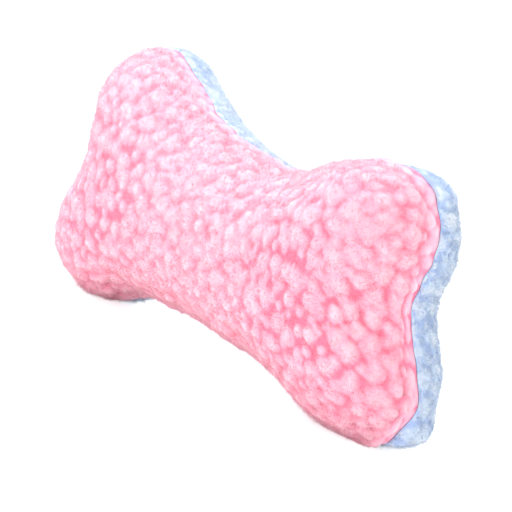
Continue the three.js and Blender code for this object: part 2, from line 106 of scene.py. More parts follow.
# The pile's main nubs, as the solids have them.
nub_spacing = 10 * mm
root_depth = 2.4 * mm
seam_fade = 9 * mm

# Shares of the sizes above, as the solids have them.
spine_share = 0.62
valley_place_share = 0.93
valley_length_share = 0.16
valley_height_share = 0.43
lobe_reach_share = 1.3
nub_radius_shares = (0.36, 0.54)
nub_height_shares = (0.75, 1)
nub_stray_share = 0.3
waist_steps = 6
lobe_steps = 9
notch_steps = 3
section_steps = 4000
scatter_step = 12.9898
scatter_spread = 43758.5453
thread_sides = 5

# The noise's number of random slopes, and the primes that mix a corner's place into one of them.
slope_count = 4096
mixing_steps = (73856093, 19349663, 83492791)

# The camera, as fitted to the photograph, with its focal length and its offset in pixels.
camera_turn = 0.7817
camera_rise = 0.2005
camera_roll = 0.295
camera_distance = 1040.7 * mm
camera_target_share = 0.4
frame_pixels = 512
focal_pixels = 2353.95
offset_pixels = (1.415, -13.363)
sensor_width = 36

half_length = toy_length / 2
lobe_x = half_length - lobe_radius
lobe_z = end_height / 2 - lobe_radius
waist_z = end_height / 2 - waist_depth
notch_x = half_length - notch_depth
waist_radius = (lobe_x**2 + (waist_z - lobe_z) ** 2 - lobe_radius**2) / (2 * waist_depth)
notch_radius = ((notch_x - lobe_x) ** 2 + lobe_z**2 - lobe_radius**2) / (2 * notch_depth)
spine_half = spine_share * half_length
inner_inset = crease_depth + allowance_thickness
allowance_inset = crease_depth + seam_allowance
thread_radius = thread_diameter / 2
thread_inset = (inner_inset + allowance_inset) / 2
thread_depth = clearance / 2 + allowance_thickness + clearance + thread_radius

# The arcs of a quarter of the outline: their centres, turns and lengths.
waist_centre = waist_z + waist_radius
notch_centre = notch_x + notch_radius
waist_turn = math.atan2(lobe_x, waist_centre - lobe_z)
notch_turn = math.atan2(lobe_z, notch_centre - lobe_x)
lobe_turn = math.pi / 2 + waist_turn + notch_turn
arc_ends = np.cumsum(
    [0, waist_radius * waist_turn, lobe_radius * lobe_turn, notch_radius * notch_turn]
)
outline_length = 4 * arc_ends[-1]


def split(pairs):
    """Two tables, the front panel's and the back panel's, from one whose values are pairs."""
    return ({name: pair[k] for name, pair in pairs.items()} for k in range(2))


# Both panels, the front one's value first: their depth at the ends and at the waist, how full
# their section is, and how high their nubs are.
side_values = {
    "name": ("front", "back"),
    "sign": (-1, 1),
    "end_crown": (39.5 * mm, 29.5 * mm),
    "waist_crown": (38 * mm, 25 * mm),
    "fullness": (2.45, 2.1),
    "nub_height": (3.2 * mm, 2.6 * mm),
}
front, back = split(side_values)


def smooth_step(value, low, high):
    """0 below low, 1 above high, and t^2 (3 - 2t) between them."""
    t = np.clip((value - low) / (high - low), 0, 1)
    return t * t * (3 - 2 * t)


def blended(a, b, share):
    """A value on the straight line from a (share 0) to b (share 1)."""
    return a + (b - a) * share


def outline_at(run):
    """Points and outward normals of the sewn outline at lengths along it.

    A quarter is a waist arc, a lobe arc and a notch arc that touch each other. The other three
    quarters are its mirror images, and the loop runs from the top to the right end and round.
    """
    quarter = arc_ends[-1]
    turn = np.minimum(run // quarter, 3).astype(int)
    along = np.where(turn % 2 == 0, run - turn * quarter, (turn + 1) * quarter - run)
    arc = np.digitize(along, arc_ends[1:3])
    radius = np.array([waist_radius, lobe_radius, notch_radius])[arc]
    centre_x = np.array([0, lobe_x, notch_centre])[arc]
    centre_z = np.array([waist_centre, lobe_z, 0])[arc]
    outward = np.array([-1, 1, -1])[arc]
    first = np.array([-math.pi / 2, math.pi / 2 + waist_turn, math.pi - notch_turn])[arc]
    angle = first - outward * (along - arc_ends[arc]) / radius
    mirror = np.array([[1, 1], [1, -1], [-1, -1], [-1, 1]])[turn]
    points = np.stack([centre_x + radius * np.cos(angle), centre_z + radius * np.sin(angle)], 1)
    normals = np.stack([outward * np.cos(angle), outward * np.sin(angle)], 1)
    return points * mirror, normals * mirror


def sewn_outline(count):
    """The sewn outline in evenly spaced points."""
    return outline_at((np.arange(count) + 0.5) * outline_length / count)


def stepped_outline():
    """The sewn outline in the solids' own points: equal steps along each arc."""
    steps = (waist_steps, lobe_steps, notch_steps)
    quarter = [
        np.linspace(low, high, count, endpoint=False)
        for low, high, count in zip(arc_ends[:-1], arc_ends[1:], steps)
    ]
    quarter = np.concatenate([*quarter, arc_ends[-1:]])
    right = np.concatenate([quarter, outline_length / 2 - quarter[-2::-1]])
    return outline_at(np.concatenate([right, outline_length - right[-2:0:-1]]))


def settle(points):
    """Moves points of the straight toy to where they are on the stuffed one.

    Both ends bow back with the square of the length and twist with length times height. Near
    each upper lobe a bell curve lifts the toy and leans it, and near the surface that it stands
    on the height h becomes the fourth root of h^4 + press^4.
    """
    x, y, z = points[..., 0], points[..., 1], points[..., 2]
    along, up = x / half_length, z / half_length
    reach = lobe_reach_share * lobe_radius
    left = np.exp(-((x + lobe_x) ** 2 + (z - lobe_z) ** 2) / reach**2)
    right = np.exp(-((x - lobe_x) ** 2 + (z - lobe_z) ** 2) / reach**2)
    height = np.maximum(z + upper_lobe_lift * (left + right) + end_height / 2, 0)
    return np.stack(
        [
            x - left_lobe_spread * left - right_lobe_draw * right,
            y + bow_depth * along**2 - twist_depth * along * up - right_lobe_forward * right,
            (height**4 + stand_press**4) ** 0.25 - end_height / 2,
        ],
        -1,
    )


def dome_height(side, x, z, share, drop):
    """Height over the seam: crown * sqrt(1 - share^fullness), less a valley at each end.

    The crown passes from its waist value to its end value with a smooth step of |x|, and the
    valley is a bell curve round a point between the two lobes of the end.
    """
    step = smooth_step(np.abs(x), 0, spine_half)
    crown = blended(side["waist_crown"], side["end_crown"], step)
    from_valley = np.hypot(
        (np.abs(x) - valley_place_share * notch_x) / (valley_length_share * half_length),
        z / (valley_height_share * lobe_z),
    )
    valley = valley_depth * np.exp(-(from_valley**2)) * (1 - share**4)
    return (crown - drop) * np.sqrt(1 - share ** side["fullness"]) - valley


def dome_plan(points, normals, share, inset):
    """Where a ring lies in plan: at a share of the way from the spine to the inset outline."""
    turn = np.clip(points[:, 0] / lobe_x, -1, 1) * math.pi / 2
    spine = np.stack([spine_half * np.sin(turn), np.zeros(len(points))], 1)
    return blended(spine, points - normals * inset, np.reshape(share, (-1, 1)))


def raised(plan, y):
    """Points given in plan, at a height over the seam."""
    return np.stack([plan[:, 0], np.broadcast_to(y, len(plan)), plan[:, 1]], 1)


def outer_ring(side, outline, share, crease=crease_depth):
    """A ring of the pile's outer face: the dome, drawn in towards the seam by the crease."""
    points, normals = outline
    plan = dome_plan(points, normals, share, 0)
    height = dome_height(side, plan[:, 0], plan[:, 1], share, 0)
    drawn = crease * np.exp(-((height / crease_half_width) ** 2))
    return raised(plan - normals * drawn[:, None], side["sign"] * (height + clearance / 2))


def inner_ring(side, outline, share, inset, drop, lowest):
    """A ring of a face inside the fleece, never nearer to the seam than the lowest height."""
    plan = dome_plan(*outline, share, inset)
    height = np.maximum(dome_height(side, plan[:, 0], plan[:, 1], share, drop), lowest)
    return raised(plan, side["sign"] * height)


def flat_ring(outline, inset, y):
    """A ring parallel to the outline at one height over the seam."""
    points, normals = outline
    return raised(points - normals * inset, y)


def share_at(part):
    """Shares at parts of the way over a typical dome, from the spine (0) to the seam (1).

    The dome's section is walked in small steps, its length is summed, and the shares are read
    back at the asked parts of the whole length.
    """
    share = 1 - np.linspace(1, 0, section_steps + 1) ** 2
    width = (waist_z + end_height / 2) / 2
    height = front["waist_crown"] * np.sqrt(1 - share ** front["fullness"])
    run = np.hypot(np.diff(share) * width, np.diff(height))
    length = np.concatenate([[0], np.cumsum(run)])
    return np.interp(part * length[-1], length, share), length[-1]


def scatter(number):
    """A steady value from 0 to 1 for each number: the fraction of a steep sine."""
    return np.sin(number * scatter_step) * scatter_spread % 1


def main_nubs(side):
    """Middle, radius and height of each of the nubs that the solids have too.

    They stand in staggered rows round the dome, each a little off its place. A row's ring is the
    dome over the solids' outline, walked along its straight pieces.
    """
    _, section_length = share_at(0)
    rows = round(section_length / nub_spacing)
    outline = stepped_outline()
    closed = np.concatenate([np.hstack(outline), np.hstack(outline)[:1]])
    middles, sizes, before = [], [], 0
    for row in range(rows):
        row_share, _ = share_at((row + 0.5) / rows)
        ring = outer_ring(side, outline, row_share)
        run = np.linalg.norm(np.roll(ring, -1, 0) - ring, axis=1)
        run = np.concatenate([[0], np.cumsum(run)])
        count = round(blended(4 * spine_half, outline_length, row_share) / nub_spacing)
        place = np.arange(count)
        along, across, width, height = (scatter(4 * (before + place) + k) for k in range(4))
        stray = nub_stray_share * (2 * along - 1)
        at = (place + 1 + row % 2 / 2 + stray) / count % 1 * run[-1]
        spot = np.stack([np.interp(at, run, values) for values in closed.T], 1)
        share, _ = share_at((row + 0.5 + nub_stray_share * (2 * across - 1)) / rows)
        middles.append(outer_ring(side, (spot[:, :2], spot[:, 2:]), share))
        sizes.append(
            [
                nub_spacing * blended(*nub_radius_shares, width),
                side["nub_height"] * blended(*nub_height_shares, height),
            ]
        )
        before += count
    radius, height = np.concatenate(sizes, 1)
    return np.concatenate(middles), radius, height


def lattice_noise(points, cell, seed):
    """Smooth noise, about -1 to 1, one value for each point.

    Each corner of a cubic lattice has a random slope, and inside a cube the eight sloping
    planes are blended with t^3 (6t^2 - 15t + 10) along each axis.
    """
    slopes = np.random.default_rng(seed).normal(size=(slope_count, 3))
    place = points / cell
    corner = np.floor(place).astype(np.int64)
    t = place - corner
    faded = t**3 * (6 * t**2 - 15 * t + 10)
    total = np.zeros(points.shape[:-1])
    for step in np.ndindex(2, 2, 2):
        spot = corner + np.array(step)
        mixed = np.bitwise_xor.reduce(spot * mixing_steps, -1) % slope_count
        weight = np.prod(np.where(step, faded, 1 - faded), -1)
        total += (slopes[mixed] * (t - step)).sum(-1) * weight
    return total


def vector_noise(points, cell, seed):
    """Three independent noises as the parts of a vector."""
    return np.stack([lattice_noise(points, cell, seed + k) for k in range(3)], -1)


def grid_faces(rings, around, turned):
    """Quads between neighbouring rings, closed round each ring, as indices ring * around + i."""
    k, i = np.meshgrid(np.arange(rings - 1), np.arange(around), indexing="ij")
    a = k * around + i
    b = k * around + (i + 1) % around
    quads = np.stack([a, b, b + around, a + around], -1).reshape(-1, 4)
    return quads[:, ::-1] if turned else quads


def welded(points, quads, weld):
    """Joins points closer than the weld distance, and splits off quads that became triangles.

    It also returns which points were kept, and where each of the given points went.
    """
    keys = np.round(points / weld).astype(np.int64)
    _, first, where = np.unique(keys, axis=0, return_index=True, return_inverse=True)
    where = where.reshape(-1)
    quads = where[quads]
    same = quads == np.roll(quads, -1, 1)
    whole = quads[same.sum(1) == 0]
    pinched = quads[same.sum(1) == 1]
    drop = np.argmax(same[same.sum(1) == 1], 1)
    keep = np.array([[1, 2, 3], [0, 2, 3], [0, 1, 3], [0, 1, 2]])[drop]
    triangles = np.take_along_axis(pinched, keep, 1)
    return points[first], whole, triangles, first, where


def linked(name, data):
    """A new object of the scene, with the given data."""
    made = bpy.data.objects.new(name, data)
    bpy.context.scene.collection.objects.link(made)
    return made


def mesh_object(name, points, quads, triangles):
    """A smooth-shaded mesh object at the origin, filled from whole arrays."""
    mesh = bpy.data.meshes.new(name)
    mesh.vertices.add(len(points))
    mesh.vertices.foreach_set("co", np.asarray(points, np.float32).ravel())
    corners = np.concatenate([quads.ravel(), triangles.ravel()])
    sizes = np.concatenate([np.full(len(quads), 4), np.full(len(triangles), 3)])
    mesh.loops.add(len(corners))
    mesh.loops.foreach_set("vertex_index", corners.astype(np.int32))
    mesh.polygons.add(len(sizes))
    starts = np.concatenate([[0], np.cumsum(sizes)[:-1]])
    mesh.polygons.foreach_set("loop_start", starts.astype(np.int32))
    mesh.polygons.foreach_set("use_smooth", np.ones(len(sizes), bool))
    mesh.update(calc_edges=True)
    mesh.validate()
    return linked(name, mesh)


def add_values(made, depth, tone):
    """The pile's depth for its painted shade, and its tone, at each point of a mesh, as its material
    reads them.
    """
    for name, values in (("pile_depth", depth), ("nub_tone", tone)):
        attribute = made.data.attributes.new(name, "FLOAT", "POINT")
        attribute.data.foreach_set("value", np.asarray(values, np.float32))


def grid_normals(side, points):
    """Unit normals out of a panel's closed grid of rings, and the area of each of its cells."""
    across = np.gradient(points, axis=0)
    around = np.roll(points, -1, 1) - np.roll(points, 1, 1)
    normals = np.cross(across, around)
    size = np.linalg.norm(normals, axis=-1, keepdims=True)
    normals = normals / np.maximum(size, 1e-12)
    return normals * np.sign((normals[..., 1] * side["sign"]).sum()), size[..., 0] / 2


def packed_shift():
    """The vector from the settled outline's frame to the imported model's.

    It is how far the box of the needle thread, drawn here as the solids have it, lies from the
    box of its node.
    """
    outline = stepped_outline()
    rings = []
    for angle in 2 * math.pi * np.arange(thread_sides) / thread_sides:
        inset = thread_inset + thread_radius * math.cos(angle)
        depth = front["sign"] * thread_depth + thread_radius * math.sin(angle)
        rings.append(settle(flat_ring(outline, inset, depth)))
    drawn = np.concatenate(rings)
    low, high = np.array(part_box("seam_needle_thread"))
    off = np.stack([low - drawn.min(0), high - drawn.max(0)])
    return off.mean(0)


shift = packed_shift()


def photo_camera():
    """A camera on a sphere round the bone's middle, rolled and shifted as the photograph was."""
    data = bpy.data.cameras.new("photo_camera")
    data.sensor_width = sensor_width
    data.lens = focal_pixels * sensor_width / frame_pixels
    data.shift_x = -offset_pixels[0] / frame_pixels
    data.shift_y = offset_pixels[1] / frame_pixels
    made = linked("photo_camera", data)
    made.matrix_world = (
        Matrix.Translation(shift + (0, camera_target_share * bow_depth, 0))
        @ Matrix.Rotation(camera_turn, 4, "Z")
        @ Matrix.Rotation(math.pi / 2 - camera_rise, 4, "X")
        @ Matrix.Rotation(camera_roll, 4, "Z")
        @ Matrix.Translation((0, 0, camera_distance))
    )
    bpy.context.scene.camera = made


photo_camera()

# The grid of the panels: points along a ring, rings of pile, of allowance and of knit.
around_count = 1180
ring_count = 100
allowance_rings = 4
inner_shares = (1, 0.97, 0.86, 0.66, 0.36, 0)
weld_distance = 1e-3 * mm

# How nubs are scattered over a surface.
nub_area_share = 0.87
sample_points = 12
scatter_rounds = 5
scatter_reach = 2.5
slab_points = 1200

# The shape of the nubs, and of the noise and the curls on them.
main_slimness = 0.85
small_slimness = 0.7
warp_cell = 4.2 * mm
fine_warp_cell = 1.7 * mm
fine_warp_share = 0.25
fine_cell = 0.9 * mm
fine_height = 0.1 * mm
curl_radius_shares = (0.42, 0.62)
curl_foot_share = 0.5
full_share = 0.95
bulge_shares = (0.1, 0.8)
relief_blur = 4
colour_blur = 1
patch_blur = 60
patch_share = 0.6
swell = 0.8 * mm
swell_cell = 17 * mm
deepest_sink = 4.6 * mm

# The pile along the seam, where both panels meet at one height on a line that wanders.
pile_crease = 1.4 * mm
pile_gap = 0.02 * mm
seam_rise = 2.2 * mm
seam_hold = 2 * mm
seam_give = 4 * mm
seam_push = 1 * mm
seam_relief_share = 0.7
seam_relief_height = 8 * mm
# How far from the seam the painted shade along it reaches.
seam_painted_shade_height = 7 * mm
seam_seed = 5
seam_wander = 1.4 * mm
seam_wander_cell = 9 * mm

# The pile's grain: its scale, distortion, strength and distance.
fleece_grain = (1500, 1.5, 0.5, 0.2 * mm)
pile_glow = 0.5

# Loose fibres: how unlike their lengths are, and how much of their root's painted shade they take at
# foot and tip.
fibre_shortest = 0.35
fibre_power = 1.5
foot_painted_shade = 0.8
tip_painted_shade = 0.2

# The cloth simulation of the sewn cover.
cover_around = 144
cover_rings = 20
cover_start = (1, 0.9, 1)
cover_pressure = 4
cover_frames = 20
cover_cap = 1.5 * mm


def in_mm(*places):
    """Places on the straight toy in millimetres: a name, x, z, the reach and the amount."""
    return tuple((name, *(value * mm for value in values)) for name, *values in places)


# How far the pile along the seam leans to the front, and how much more at some places.
plain_lean = 4.8 * mm
lean_height = 16 * mm
leans = in_mm(
    ("upper_left_crest", -72, 60, 22, 1.2),
    ("upper_waist", -36, 46, 18, 2.4),
    ("upper_left_waist", -54, 49, 14, -2.4),
    ("upper_right_lobe", 106, 34, 28, 3),
    ("right_notch", 107, 3, 12, 2.6),
    ("right_notch_foot", 107, -14, 9, 0.8),
    ("lower_right_lobe", 106, -30, 20, -1),
    ("lower_right_tip", 107, -44, 13, 7),
    ("lower_right_foot", 92, -60, 10, -2.5),
    ("lower_left_foot", -66, -56, 22, -5),
)

# Where the stuffing swells a panel or leaves it slack, as the photographed outline shows.
both_swells = in_mm(
    ("lower_left_lobe", -86, -58, 14, -2.2),
    ("lower_left_crest", -44, -49, 14, -3.8),
    ("upper_waist", 12, 41, 15, -1.2),
)
front_swells = both_swells + in_mm(
    ("upper_left_lobe", -98, 46, 16, 2.4),
    ("upper_left_crest", -88, 58, 14, -2.4),
    ("left_end", -98, 15, 13, -2.6),
    ("lower_left_end", -97, -52, 14, -1.4),
    ("upper_right_crest", 54, 50, 14, 3.4),
    ("upper_right_lobe", 88, 58, 10, -2),
    ("lower_middle", 18, -41, 11, 1.4),
    ("lower_right_lobe", 88, -58, 14, -2.8),
    ("lower_waist", 40, -42, 16, -1),
)
back_swells = both_swells + in_mm(
    ("upper_left_lobe", -80, 56, 12, 1.8),
    ("upper_left_crest", -48, 46, 20, 1.8),
    ("upper_right_crest", 80, 58, 11, -3),
    ("upper_right_lobe", 103, 55, 11, 4.6),
    ("right_end", 110, 24, 18, 1),
    ("right_notch", 104, -8, 14, 1.6),
    ("lower_right_lobe", 111, -44, 8, 7.6),
    ("lower_right_foot", 99, -59, 11, -4),
    ("upper_left_waist", -28, 44, 9, 1.5),
)

# Where the toy is drawn in as a whole, cloth and stuffing alike.
drawn_places = in_mm(("upper_waist", 21, 41, 12, 1.6))

# Where the front's pile stands open: its relief stands higher there and the painted shade between
# its nubs is deeper.
front_open_pile_and_shade = (
    ("right_end", 72 * mm, -6 * mm, 34 * mm, 0.62),
    ("left_end", -62 * mm, -10 * mm, 32 * mm, 0.4),
)

# Both piles, the pink one's value first. Shades are tip, body and pit on the 0 to 255 scale; the
# colour deepening from the pale tip into the pit is painted shade in the hollows between the nubs.
pile_values = {
    "slot": ("pink_fleece", "blue_fleece"),
    "shades": (
        ((255, 199, 212), (255, 181, 201), (255, 139, 168)),
        ((230, 239, 250), (211, 226, 245), (176, 200, 239)),
    ),
    "seed": (11, 23),
    "filled": (1.7 * mm, 1.5 * mm),
    # How much of the painted shade between the nubs each pile takes.
    "closed": (0.72, 1),
    "open_pile_and_shade": (front_open_pile_and_shade, ()),
    # Painted shade added along the seam, over the pile's lip that would otherwise be pale there.
    "seam_painted_shade": (0.22, 0.1),
    "softness": (0.78, 0.6),
    "swells": (front_swells, back_swells),
    "fluff": (1.25, 1.25),
    "small_spacing": (6.4 * mm, 4.4 * mm),
    "small_radius_shares": ((0.48, 0.7), (0.4, 0.6)),
    "small_height": (2.5 * mm, 1.6 * mm),
    "curl_spacing": (2.6 * mm, 2.4 * mm),
    "curl_height": (0.4 * mm, 0.5 * mm),
    "warp": (0.6 * mm, 1.6 * mm),
    "bulge": (0.1, 0.06),
    "fibre_count": (100000, 110000),
    "fibre_length": (3 * mm, 3.6 * mm),
    "fibre_radius": (0.07 * mm, 0.08 * mm),
    "fibre_lean": (0.9, 1.0),
    "fibre_sunk": (0.2 * mm, 0.2 * mm),
    "fibre_from_seam": (6 * mm, 1 * mm),
}
for panel_side, values in zip((front, back), split(pile_values)):
    panel_side.update(values)


def stuffed_cover():
    """How the stuffing's pressure moves the sewn cover: a coarse grid of shifts for each panel.

    Both domes together, drawn a little flatter, are one closed cloth. It swells with pressure
    and without gravity for twenty frames. A point's whole shift d from the drawn domes is then
    capped as d * cap / (cap + |d|).
    """
    outline = sewn_outline(cover_around)
    shares, _ = share_at(np.linspace(0, 1, cover_rings))
    domes_drawn = np.stack(
        [[outer_ring(side, outline, share, 0) for share in shares] for side in (front, back)]
    )
    domes_drawn[:, -1, :, 1] = 0
    drawn = np.concatenate([domes_drawn[0], domes_drawn[1, ::-1]]).reshape(-1, 3)
    quads = grid_faces(2 * cover_rings, cover_around, False)
    points, quads, triangles, _, where = welded(drawn, quads, weld_distance)
    cover = mesh_object("sewn_cover", points * cover_start, quads, triangles)
    cloth = cover.modifiers.new("stuffing_pressure", "CLOTH").settings
    cloth.use_pressure = True
    cloth.uniform_pressure_force = cover_pressure
    cloth.effector_weights.gravity = 0
    for frame in range(1, cover_frames + 1):
        bpy.context.scene.frame_set(frame)
    swelled = np.zeros(points.size, np.float32)
    graph = bpy.context.evaluated_depsgraph_get()
    cover.evaluated_get(graph).data.vertices.foreach_get("co", swelled)
    bpy.data.objects.remove(cover)
    bpy.context.scene.frame_set(1)
    shifts = swelled.reshape(-1, 3) - points
    shifts *= cover_cap / (cover_cap + np.linalg.norm(shifts, axis=1, keepdims=True))
    shifts = shifts[where].reshape(2, cover_rings, cover_around, 3)
    return shifts[0], shifts[1, ::-1]


def finer(grid, rings, around):
    """A coarse closed grid of rings read at the evenly spaced places of a finer one."""
    closed = np.concatenate([grid[:, -1:], grid, grid[:, :1]], 1)
    ring = np.linspace(0, len(grid) - 1, rings)
    low = np.minimum(ring.astype(int), len(grid) - 2)
    rows = blended(closed[low], closed[low + 1], (ring - low)[:, None, None])
    column = (np.arange(around) + 0.5) * grid.shape[1] / around + 0.5
    left = column.astype(int)
    return blended(rows[:, left], rows[:, left + 1], (column - left)[None, :, None])


def slabs(points, spots, reach):
    """Pairs of index arrays: the points in a thin slab across x, and the spots within reach."""
    order = np.argsort(points[:, 0])
    spot_order = np.argsort(spots[:, 0])
    sorted_x = spots[spot_order, 0]
    for part in np.array_split(order, max(1, len(order) // slab_points)):
        low, high = points[part[0], 0] - reach, points[part[-1], 0] + reach
        yield part, spot_order[np.searchsorted(sorted_x, low) : np.searchsorted(sorted_x, high)]


def squared_distances(points, spots):
    """Squared distance from each point to each spot, as |p|^2 - 2 p.s + |s|^2."""
    crossed = points @ spots.T
    return (points**2).sum(1)[:, None] - 2 * crossed + (spots**2).sum(1)[None]


def scattered(points, weights, spacing, rng):
    """Spots over a surface, about one spacing apart but not in rows.

    Spots are drawn at random by weight and then moved a few times to the middle of the sample
    points that are nearest to them.
    """
    count = int(weights.sum() / (nub_area_share * spacing**2))
    chance = weights / weights.sum()
    sample = points[rng.choice(len(points), sample_points * count, p=chance)]
    spots = points[rng.choice(len(points), count, replace=False, p=chance)]
    for _ in range(scatter_rounds):
        nearest = np.zeros(len(sample), int)
        for part, near in slabs(sample, spots, scatter_reach * spacing):
            nearest[part] = near[np.argmin(squared_distances(sample[part], spots[near]), 1)]
        sums = np.stack([np.bincount(nearest, sample[:, k], count) for k in range(3)], 1)
        hits = np.bincount(nearest, minlength=count)[:, None]
        spots = np.where(hits > 0, sums / np.maximum(hits, 1), spots)
    return spots


def domes(points, spots, shape):
    """Height of overlapping domes, and which dome is the highest at each point.

    A dome is height * (1 - q^2)^1.5, where q is the distance from its spot over its radius,
    measured short along its grain. Overlapping domes add up as the 4th root of their 4th powers.
    """
    radius, height, grain, slimness = shape
    tops, winners = np.zeros(len(points)), np.zeros(len(points), int)
    shorter = 1 - slimness**2
    for part, near in slabs(points, spots, radius.max() / slimness.min()):
        here, there = points[part], spots[near]
        along = here @ grain[near].T - (there * grain[near]).sum(1)[None]
        q = (squared_distances(here, there) - shorter[near] * along**2) / radius[near] ** 2
        rise = height[near] * np.clip(1 - q, 0, 1) ** 1.5
        winner = np.argmax(rise, 1)
        tops[part] = (rise**4).sum(1) ** (1 / 4)
        winners[part] = near[winner]
    return tops, winners


def unit(vectors):
    """Vectors of length 1 in the given directions."""
    return vectors / np.linalg.norm(vectors, axis=-1, keepdims=True)


def nub_shapes(rng, radius, height, slimmest):
    """Radius, height, grain direction and slimness of each of a number of nubs."""
    grain = unit(rng.normal(size=(len(radius), 3)))
    return radius, height, grain, rng.uniform(slimmest, 1, len(radius))


def small_nubs(rng, points, areas, spacing, radius_shares, height):
    """Spots and shapes of nubs scattered over a surface between and on top of the main ones."""
    spots = scattered(points, areas, spacing, rng)
    radius = spacing * rng.uniform(*radius_shares, len(spots))
    heights = height * rng.uniform(*nub_height_shares, len(spots))
    return spots, nub_shapes(rng, radius, heights, small_slimness)


def grown_pile(side, points, normals, areas):
    """Height of the pile over its roots, its depth from 0 at the tips to 1 for the painted shade,
    and each nub's tone.

    The solids' nubs and smaller ones between them are longer along a grain of their own. Their
    edges wander with noise, and small curls and a fine noise lie on top of them.
    """
    rng = np.random.default_rng(side["seed"])
    full = side["nub_height"]
    spots, radius, height = main_nubs(side)
    shape = nub_shapes(rng, radius * side["fluff"], height, main_slimness)
    tone = rng.uniform(-1, 1, len(spots))
    warped = (
        points
        + side["warp"] * vector_noise(points, warp_cell, side["seed"] + 100)
        + side["warp"] * fine_warp_share * vector_noise(points, fine_warp_cell, side["seed"] + 200)
    )
    rise, winner = domes(warped, spots, shape)
    small_spots, small_shape = small_nubs(
        rng, points, areas, side["small_spacing"], side["small_radius_shares"], side["small_height"]
    )
    small_tone = rng.uniform(-1, 1, len(small_spots))
    small_rise, small_winner = domes(warped, small_spots, small_shape)
    is_small = small_rise > rise
    rise = (rise**3 + small_rise**3) ** (1 / 3)
    tone = np.where(is_small, small_tone[small_winner], tone[winner])
    centre = np.where(is_small[:, None], small_spots[small_winner], spots[winner])
    curl_spots, curl_shape = small_nubs(
        rng, points, areas, side["curl_spacing"], curl_radius_shares, side["curl_height"]
    )
    curls, _ = domes(warped, curl_spots, curl_shape)
    fine = lattice_noise(warped, fine_cell, side["seed"] + 300)
    total = rise + curls * smooth_step(rise, 0, curl_foot_share * full) + fine_height * fine
    # The depth from the tips sets how much painted shade the pile's colour takes.
    depth = 1 - total / (full_share * full)
    lean = points - centre
    lean -= normals * (lean * normals).sum(1, keepdims=True)
    spread = side["bulge"] * smooth_step(rise / full, *bulge_shares)
    return total, depth, tone, lean * spread[:, None]


def blurred(grid, times):
    """A grid of rings whose points were averaged with their four neighbours a number of times."""
    for _ in range(times):
        beside = np.roll(grid, 1, 1) + np.roll(grid, -1, 1)
        beyond = np.concatenate([grid[1:], grid[-1:]]) + np.concatenate([grid[:1], grid[:-1]])
        grid = (2 * grid + beside + beyond) / 6
    return grid


def evened(grid, blur):
    """A blurred grid, less a share of what its broad patches differ from their mean."""
    grid = blurred(grid, blur)
    broad = blurred(grid, patch_blur)
    return grid - patch_share * (broad - broad.mean())


def bells(points, places):
    """The sum, over named places, of amount * exp(-(distance in plan / reach)^2)."""
    total = np.zeros(points.shape[:-1])
    for _, x, z, reach, amount in places:
        away = (points[..., 0] - x) ** 2 + (points[..., 2] - z) ** 2
        total += amount * np.exp(-away / reach**2)
    return total


def swollen(points, side):
    """How far the stuffing pushes a panel out: a broad noise and a bell curve for each swell."""
    lumps = swell * lattice_noise(points, swell_cell, side["seed"] + 500)
    return lumps + bells(points, side["swells"])


def seam_swell(points):
    """How far the seam gives way: the mean of both panels' swells, within limits."""
    both = (bells(points, front_swells) + bells(points, back_swells)) / 2
    return np.clip(both, -seam_give, seam_push)


def drawn_in(points):
    """Placed points, moved down by a bell curve where the toy is drawn in."""
    moved = points.copy()
    moved[..., 2] -= bells(points - shift, drawn_places)
    return moved


def leaned(points):
    """Leans the pile along the seam to the front, on both panels alike.

    The lean is whole at the seam, where both piles meet, and fades out over lean_height. Bell
    curves change it from place to place, and a noise makes the line where they meet wander.
    """
    x, y, z = points[..., 0], points[..., 1], points[..., 2]
    wander = seam_wander * lattice_noise(points * (1, 0, 1), seam_wander_cell, seam_seed)
    amount = plain_lean + bells(points, leans) + wander
    fade = 1 - smooth_step(np.abs(y), 0, lean_height)
    return np.stack([x, y - amount * fade, z], -1)


